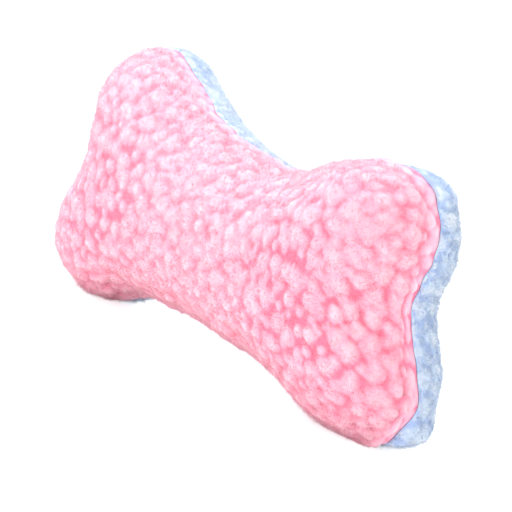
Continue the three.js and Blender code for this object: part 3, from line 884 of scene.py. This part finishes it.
def fleece_panel(side, cover):
    """One fleece shell: its curled pile outside, the allowance along the seam, its knit inside.

    The pile's roots lie under the outer face and follow the simulated cover. The pile's relief,
    the panel's swells and the nubs' bulge are added along the face's normals. Close to the seam
    they pass to one height for both panels, which gives way where the panels are slack.
    """
    outline = sewn_outline(around_count)
    shares, _ = share_at(np.linspace(0, 1, ring_count))
    outer = np.stack([outer_ring(side, outline, share, pile_crease) for share in shares])
    normals, areas = grid_normals(side, outer)
    normals[0] = (0, side["sign"], 0)
    normals[-1] = np.insert(outline[1], 1, 0, axis=1)
    seam_height = np.abs(outer[..., 1])
    rooted = root_depth * smooth_step(seam_height, 0, seam_fade)
    flat_roots = (outer - normals * rooted[..., None]).reshape(-1, 3)
    flat_normals = normals.reshape(-1, 3)
    rise, depth, tone, lean = grown_pile(side, outer.reshape(-1, 3), flat_normals, areas.ravel())
    nearness = blended(seam_relief_share, 1, smooth_step(seam_height, 0, seam_relief_height))
    nearness = nearness.reshape(-1, 1)
    relief = evened(rise.reshape(outer.shape[:2]), relief_blur).ravel()
    # The pile's depth, blurred, is how much painted shade its colour takes.
    depth = evened(depth.reshape(outer.shape[:2]), colour_blur)
    # Where the pile stands open, its relief is raised and its painted shade deepened.
    open_pile_and_shade = bells(outer, side["open_pile_and_shade"])
    # Painted shade along the seam darkens the pile's pale lip there, fading out away from it.
    painted_seam_shade = side["seam_painted_shade"] * (1 - smooth_step(seam_height, 0, seam_painted_shade_height))
    depth = np.clip(depth * (side["closed"] + open_pile_and_shade) + painted_seam_shade, 0, 1).ravel()
    softness = side["softness"] * (1 + open_pile_and_shade.ravel() / 2)
    risen = side["filled"] + softness * relief + swollen(flat_roots, side)
    free = smooth_step(seam_height, 0, seam_hold)[..., None]
    give = seam_swell(outer[-1])
    risen = np.maximum(risen, (rooted.ravel() - deepest_sink) / nearness[:, 0])
    seam_level = seam_rise + np.broadcast_to(give, seam_height.shape)
    risen = blended(seam_level.ravel(), risen, free.ravel())
    lean = blurred(lean.reshape(outer.shape), relief_blur).reshape(-1, 3)
    pressed = finer(cover, ring_count, around_count)
    pressed[..., 1:2] *= free
    flat_roots = flat_roots + pressed.reshape(-1, 3)
    grown = flat_roots + (flat_normals * risen[:, None] + lean * free.reshape(-1, 1)) * nearness
    grown[:, 1] = side["sign"] * np.maximum(side["sign"] * grown[:, 1], pile_gap)
    grown = leaned(grown)
    seam = side["sign"] * clearance / 2
    slack = (pile_crease - np.minimum(give, 0))[:, None]
    lining = [
        flat_ring(outline, blended(slack, allowance_inset, k / allowance_rings), seam)
        for k in range(1, allowance_rings + 1)
    ]
    lining.append(flat_ring(outline, allowance_inset, seam + side["sign"] * allowance_thickness))
    lowest = allowance_thickness + clearance / 2
    lining += [
        inner_ring(side, outline, share, inner_inset, fleece_thickness, lowest)
        for share in inner_shares
    ]
    lining = np.concatenate(lining)
    placed = drawn_in(settle(np.concatenate([grown, lining])) + shift)
    face = placed[: len(grown)].reshape(outer.shape)
    placed[:, 2] = np.maximum(placed[:, 2], 0)
    rings = ring_count + len(lining) // around_count
    quads = grid_faces(rings, around_count, side is back)
    points, quads, triangles, kept, _ = welded(placed, quads, weld_distance)
    made = mesh_object(f"{side['name']}_fleece", points, quads, triangles)
    # The lining and knit inside take the deepest painted shade and no nub tone.
    inside = np.ones(len(lining))
    values = np.stack([np.concatenate([depth, inside]), np.concatenate([tone, 0 * inside])])
    add_values(made, *values[:, kept])
    return made, face, depth.reshape(outer.shape[:2])


def pile_fibres(side, face, depth):
    """Loose fibres that stand out of the curled pile, in two meshes, right and left.

    Roots are drawn at random over the grid's cells by their area. Each fibre is a slim closed
    spike with three sides: it leaves along the face's normal, leaning by a random vector, and
    its foot is a small triangle sunk in the pile.
    """
    rng = np.random.default_rng(side["seed"] + 400)
    count = side["fibre_count"]
    normals, areas = grid_normals(side, face)
    from_seam = np.linalg.norm(face - face[-1:], axis=-1)
    clear = side["fibre_from_seam"]
    weights = areas * smooth_step(from_seam, clear / 2, clear)
    spots = rng.choice(areas.size, count, p=weights.ravel() / weights.sum())
    ring, column = np.divmod(spots, around_count)
    beyond = np.minimum(ring + 1, ring_count - 1)
    beside = (column + 1) % around_count
    across, along = rng.uniform(size=(2, count, 1))
    root = blended(
        blended(face[ring, column], face[beyond, column], across),
        blended(face[ring, beside], face[beyond, beside], across),
        along,
    )
    lean = unit(rng.normal(size=(count, 3)))
    way = unit(normals[ring, column] + side["fibre_lean"] * lean)
    length = side["fibre_length"] * rng.uniform(fibre_shortest, 1, (count, 1)) ** fibre_power
    sideways = unit(np.cross(way, lean))
    third = np.cross(way, sideways)
    foot = root - way * side["fibre_sunk"]
    turn = 2 * math.pi * np.arange(3) / 3
    radius = side["fibre_radius"]
    corners = [foot + radius * (math.cos(a) * sideways + math.sin(a) * third) for a in turn]
    points = np.stack([*corners, root + way * length], 1)
    points[..., 2] = np.maximum(points[..., 2], 0)
    # Painted shade on the fibres: their feet take most of the root's, their tips little.
    fibre_painted_shade = depth[ring, column][:, None] * np.array([*[foot_painted_shade] * 3, tip_painted_shade])
    tones = np.repeat(rng.uniform(-1, 1, (count, 1)), 4, 1)
    spike = np.array([[0, 2, 1], [0, 1, 3], [1, 2, 3], [2, 0, 3]])
    meshes = []
    right = column < around_count // 2
    for part, chosen in (("right", right), ("left", ~right)):
        first = 4 * np.arange(chosen.sum())[:, None, None]
        triangles = (first + spike).reshape(-1, 3)
        name = f"{side['name']}_pile_fibres_{part}"
        made = mesh_object(name, points[chosen].reshape(-1, 3), np.zeros((0, 4), int), triangles)
        add_values(made, fibre_painted_shade[chosen].ravel(), tones[chosen].ravel())
        meshes.append(made)
    return meshes


def linear(shade):
    """A colour given on the 0 to 255 screen scale, as the linear values that a shader takes."""
    screen = np.array(shade) / 255
    bright = ((screen + 0.055) / 1.055) ** 2.4
    return *(float(c) for c in np.where(screen <= 0.04045, screen / 12.92, bright)), 1


def new_material(name):
    """A material's node tree and its shader."""
    material = bpy.data.materials.new(name)
    material.use_nodes = True
    return material, material.node_tree, material.node_tree.nodes["Principled BSDF"]


def plain_values(node, values):
    """Sets constant values on a node's own sockets."""
    for name, value in values.items():
        node.inputs[name].default_value = value


def node_group(name, inputs, outputs):
    """A shader node group with its input and output nodes and the object's coordinates."""
    group = bpy.data.node_groups.new(name, "ShaderNodeTree")
    for way, sockets in (("INPUT", inputs), ("OUTPUT", outputs)):
        for label, kind in sockets.items():
            group.interface.new_socket(label, in_out=way, socket_type=f"NodeSocket{kind}")
    given = group.nodes.new("NodeGroupInput")
    result = group.nodes.new("NodeGroupOutput")
    place = group.nodes.new("ShaderNodeTexCoord")
    return group, given, result, place.outputs["Object"]


def pile_colour_group():
    """Pile colour: a ramp of painted shade from the pale tip to the deep pit over the pile's depth,
    the nub's tone and a mottle.
    """
    kinds = {"Tip": "Color", "Body": "Color", "Pit": "Color"}
    group, given, result, place = node_group("pile_colour", kinds, {"Colour": "Color"})
    nodes, links = group.nodes, group.links
    depth = nodes.new("ShaderNodeAttribute")
    depth.attribute_name = "pile_depth"
    tone = nodes.new("ShaderNodeAttribute")
    tone.attribute_name = "nub_tone"
    mottle = nodes.new("ShaderNodeTexNoise")
    plain_values(mottle, {"Scale": 420, "Detail": 3})
    links.new(place, mottle.inputs["Vector"])
    shade = depth.outputs["Fac"]
    for added, share in ((mottle, 0.2), (tone, 0.05)):
        total = nodes.new("ShaderNodeMath")
        total.operation = "MULTIPLY_ADD"
        links.new(added.outputs["Fac"], total.inputs[0])
        total.inputs[1].default_value = share
        links.new(shade, total.inputs[2])
        shade = total.outputs[0]
    # Painted shade: the colour passes from tip to body to pit as the pile's depth grows.
    colour = given.outputs["Tip"]
    for low, high, name in ((0.15, 0.5, "Body"), (0.5, 0.95, "Pit")):
        share = nodes.new("ShaderNodeMapRange")
        share.interpolation_type = "SMOOTHSTEP"
        plain_values(share, {"From Min": low, "From Max": high})
        links.new(shade, share.inputs["Value"])
        mix = nodes.new("ShaderNodeMix")
        mix.data_type = "RGBA"
        links.new(share.outputs["Result"], mix.inputs["Factor"])
        links.new(colour, mix.inputs["A"])
        links.new(given.outputs[name], mix.inputs["B"])
        colour = mix.outputs["Result"]
    links.new(colour, result.inputs["Colour"])
    return group


def grain_group():
    """Grain in the object's coordinates: a noise value, and a normal bumped by it."""
    kinds = dict.fromkeys(("Scale", "Distortion", "Strength", "Distance"), "Float")
    made = {"Value": "Float", "Normal": "Vector"}
    group, given, result, place = node_group("grain", kinds, made)
    nodes, links = group.nodes, group.links
    noise = nodes.new("ShaderNodeTexNoise")
    plain_values(noise, {"Detail": 4})
    bump = nodes.new("ShaderNodeBump")
    links.new(place, noise.inputs["Vector"])
    for label, node in zip(kinds, (noise, noise, bump, bump)):
        links.new(given.outputs[label], node.inputs[label])
    links.new(noise.outputs["Fac"], bump.inputs["Height"])
    links.new(noise.outputs["Fac"], result.inputs["Value"])
    links.new(bump.outputs["Normal"], result.inputs["Normal"])
    return group


grain = grain_group()


def grained(tree, shader, scale, distortion, strength, distance):
    """Gives a shader the grain's normal, and returns the grain's node."""
    made = tree.nodes.new("ShaderNodeGroup")
    made.node_tree = grain
    for socket, value in zip(made.inputs, (scale, distortion, strength, distance)):
        socket.default_value = value
    tree.links.new(made.outputs["Normal"], shader.inputs["Normal"])
    return made


def fleece_material(name, shades, colour_group, curled):
    """Pile: painted shade, from pale tips to a deeper colour between the nubs.

    The curled pile passes light on inside it and has a fine fibre bump. Single fibres are too
    slim for both.
    """
    material, tree, shader = new_material(name)
    plain_values(
        shader,
        {
            "Roughness": 1,
            "Specular IOR Level": 0.05,
            "Sheen Weight": 0.2,
            "Sheen Roughness": 0.6,
            "Sheen Tint": linear(shades[0]),
            "Subsurface Weight": pile_glow if curled else 0,
            "Subsurface Radius": (1, 0.5, 0.5),
            "Subsurface Scale": 2 * mm,
        },
    )
    colouring = tree.nodes.new("ShaderNodeGroup")
    colouring.node_tree = colour_group
    for socket, shade in zip(colouring.inputs, shades):
        socket.default_value = linear(shade)
    tree.links.new(colouring.outputs["Colour"], shader.inputs["Base Color"])
    if curled:
        grained(tree, shader, *fleece_grain)
    return material


def grained_material(name, shades, constants, grain_values):
    """A material whose colour runs between two shades with its grain."""
    material, tree, shader = new_material(name)
    plain_values(shader, constants)
    made = grained(tree, shader, *grain_values)
    mix = tree.nodes.new("ShaderNodeMix")
    mix.data_type = "RGBA"
    plain_values(mix, {"A": linear(shades[0]), "B": linear(shades[1])})
    tree.links.new(made.outputs["Value"], mix.inputs["Factor"])
    tree.links.new(mix.outputs["Result"], shader.inputs["Base Color"])
    return material


def build_fleece():
    """Both panels, in place of their plain solids, and the loose fibres of their pile."""
    colour_group = pile_colour_group()
    for side, cover in zip((front, back), stuffed_cover()):
        word, slot, shades = side["name"], side["slot"], side["shades"]
        panel, face, depth = fleece_panel(side, cover)
        material = fleece_material(slot, shades, colour_group, True)
        loose = fleece_material(f"{slot}_fibre", shades, colour_group, False)
        panel.data.materials.append(material)
        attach(panel, "root")
        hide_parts(f"{word}_panel")
        for fibres in pile_fibres(side, face, depth):
            fibres.data.materials.append(loose)
            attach(fibres, "root")


build_fleece()


# Cells and lumps of the fibrefill.
wad_cell = 2.5 * mm
wad_clearance = 0.2 * mm
lump_cell = 16 * mm
lump_depth = 2.2 * mm
lump_seed = 31
tuft_cell = 5 * mm
tuft_depth = 0.8 * mm
tuft_seed = 32


def stuffing_wad(node, material):
    """A lumpy wad of fibrefill in the space of its plain solid.

    The solid's surface is rebuilt in even cells, and every point moves inwards by a broad noise
    for the lumps and a finer one for the tufts. The wad is drawn in where the cloth is.
    """
    form = bmesh.new()
    form.from_mesh(bpy.data.objects[node].data)
    bmesh.ops.remove_doubles(form, verts=form.verts, dist=weld_distance)
    mesh = bpy.data.meshes.new(f"{node}_fibrefill")
    form.to_mesh(mesh)
    form.free()
    wad = linked(f"{node}_fibrefill", mesh)
    remesh = wad.modifiers.new("even_cells", "REMESH")
    remesh.mode = "VOXEL"
    remesh.voxel_size = wad_cell
    solid = wad.evaluated_get(bpy.context.evaluated_depsgraph_get())
    wad.data = bpy.data.meshes.new_from_object(solid)
    wad.modifiers.clear()
    points, normals = np.zeros((2, len(wad.data.vertices) * 3), np.float32)
    wad.data.vertices.foreach_get("co", points)
    wad.data.vertices.foreach_get("normal", normals)
    points, normals = points.reshape(-1, 3).astype(float), normals.reshape(-1, 3)
    sunk = np.full(len(points), wad_clearance)
    for deep, cell, seed in ((lump_depth, lump_cell, lump_seed), (tuft_depth, tuft_cell, tuft_seed)):
        sunk += deep * (0.5 + 0.5 * np.clip(lattice_noise(points, cell, seed), -1, 1))
    points = drawn_in(points - normals * sunk[:, None])
    wad.data.vertices.foreach_set("co", points.astype(np.float32).ravel())
    wad.data.polygons.foreach_set("use_smooth", np.ones(len(wad.data.polygons), bool))
    wad.data.update()
    wad.data.materials.clear()
    wad.data.materials.append(material)
    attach(wad, "root")
    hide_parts(node)


def build_stuffing():
    """The four wads of fibrefill round the squeaker."""
    material = grained_material(
        "crimped_fibrefill",
        ((250, 250, 246), (232, 232, 226)),
        {"Roughness": 0.9, "Specular IOR Level": 0.2, "Sheen Weight": 0.3, "Sheen Roughness": 0.5},
        (700, 3, 0.8, 0.4 * mm),
    )
    for node in ("fill_left_end", "fill_right_end", "fill_middle_front", "fill_middle_back"):
        stuffing_wad(node, material)


build_stuffing()


def dress_hidden_nodes():
    """Materials of the sewing threads and of the squeaker's three pieces."""
    thread_look = {"Roughness": 0.55, "Specular IOR Level": 0.4}
    thread_look.update({"Sheen Weight": 0.2, "Sheen Roughness": 0.4})
    bulb_look = {"Roughness": 0.42, "Subsurface Weight": 0.3, "Subsurface Scale": 1.5 * mm}
    looks = (
        (
            "twisted_polyester_thread",
            ("seam_needle_thread", "seam_bobbin_thread", "closing_thread"),
            ((250, 226, 234), (232, 196, 208)),
            thread_look,
            (2600, 0.6, 0.7, 0.08 * mm),
        ),
        (
            "milky_blown_plastic",
            ("squeaker_bulb",),
            ((244, 242, 234), (232, 229, 219)),
            bulb_look,
            (180, 0.4, 0.25, 0.1 * mm),
        ),
        (
            "hard_moulded_plastic",
            ("squeaker_whistle",),
            ((226, 230, 233), (214, 219, 223)),
            {"Roughness": 0.25, "Coat Weight": 0.1},
            (420, 0.2, 0.15, 0.05 * mm),
        ),
        (
            "thin_rolled_reed",
            ("squeaker_reed",),
            ((206, 212, 218), (190, 198, 206)),
            {"Roughness": 0.3},
            (900, 0, 0.2, 0.03 * mm),
        ),
    )
    for name, nodes, *look in looks:
        material = grained_material(name, *look)
        for node in nodes:
            bpy.data.objects[node].material_slots[0].material = material


dress_hidden_nodes()


# The white room: its light, and its floor's half side, gap under the toy, colour and glow.
world_strength = 1.15
floor_half = 6.0
floor_gap = 0.1 * mm
floor_colour = (0.9, 0.9, 0.9, 1)
floor_glow = 0.7


def studio():
    """A white floor that keeps the toy's shadow, a white world, a lamp overhead and one ahead."""
    scene = bpy.context.scene
    scene.view_settings.view_transform = "Standard"
    world = bpy.data.worlds.new("white_room")
    scene.world = world
    world.use_nodes = True
    background = world.node_tree.nodes["Background"]
    plain_values(background, {"Color": (1, 1, 1, 1), "Strength": world_strength})
    lamps = (
        ("top_softbox", (-0.55, -0.1, 1.15), 0.9, 13),
        ("front_softbox", (0.4, -1.4, 0.02), 0.8, 11),
    )
    for name, spot, size, power in lamps:
        data = bpy.data.lights.new(name, "AREA")
        data.shape = "DISK"
        data.size = size
        data.energy = power
        lamp = linked(name, data)
        lamp.location = spot
        aim = Vector((0, 0, end_height / 2)) - Vector(spot)
        lamp.rotation_euler = aim.to_track_quat("-Z", "Y").to_euler()
    corners = np.array([(-1, -1, 0), (1, -1, 0), (1, 1, 0), (-1, 1, 0)]) * floor_half
    corners[:, 2] -= floor_gap
    floor = mesh_object("floor", corners, np.array([[0, 1, 2, 3]]), np.zeros((0, 3), int))
    material, tree, shader = new_material("white_floor")
    nodes, links = tree.nodes, tree.links
    plain_values(shader, {"Base Color": floor_colour, "Roughness": 1, "Specular IOR Level": 0})
    paths = nodes.new("ShaderNodeLightPath")
    glow = nodes.new("ShaderNodeEmission")
    add = nodes.new("ShaderNodeAddShader")
    level = nodes.new("ShaderNodeMath")
    level.operation = "MULTIPLY"
    links.new(paths.outputs["Is Camera Ray"], level.inputs[0])
    level.inputs[1].default_value = floor_glow
    links.new(level.outputs[0], glow.inputs["Strength"])
    links.new(shader.outputs[0], add.inputs[0])
    links.new(glow.outputs[0], add.inputs[1])
    links.new(add.outputs[0], nodes["Material Output"].inputs["Surface"])
    floor.data.materials.append(material)


studio()
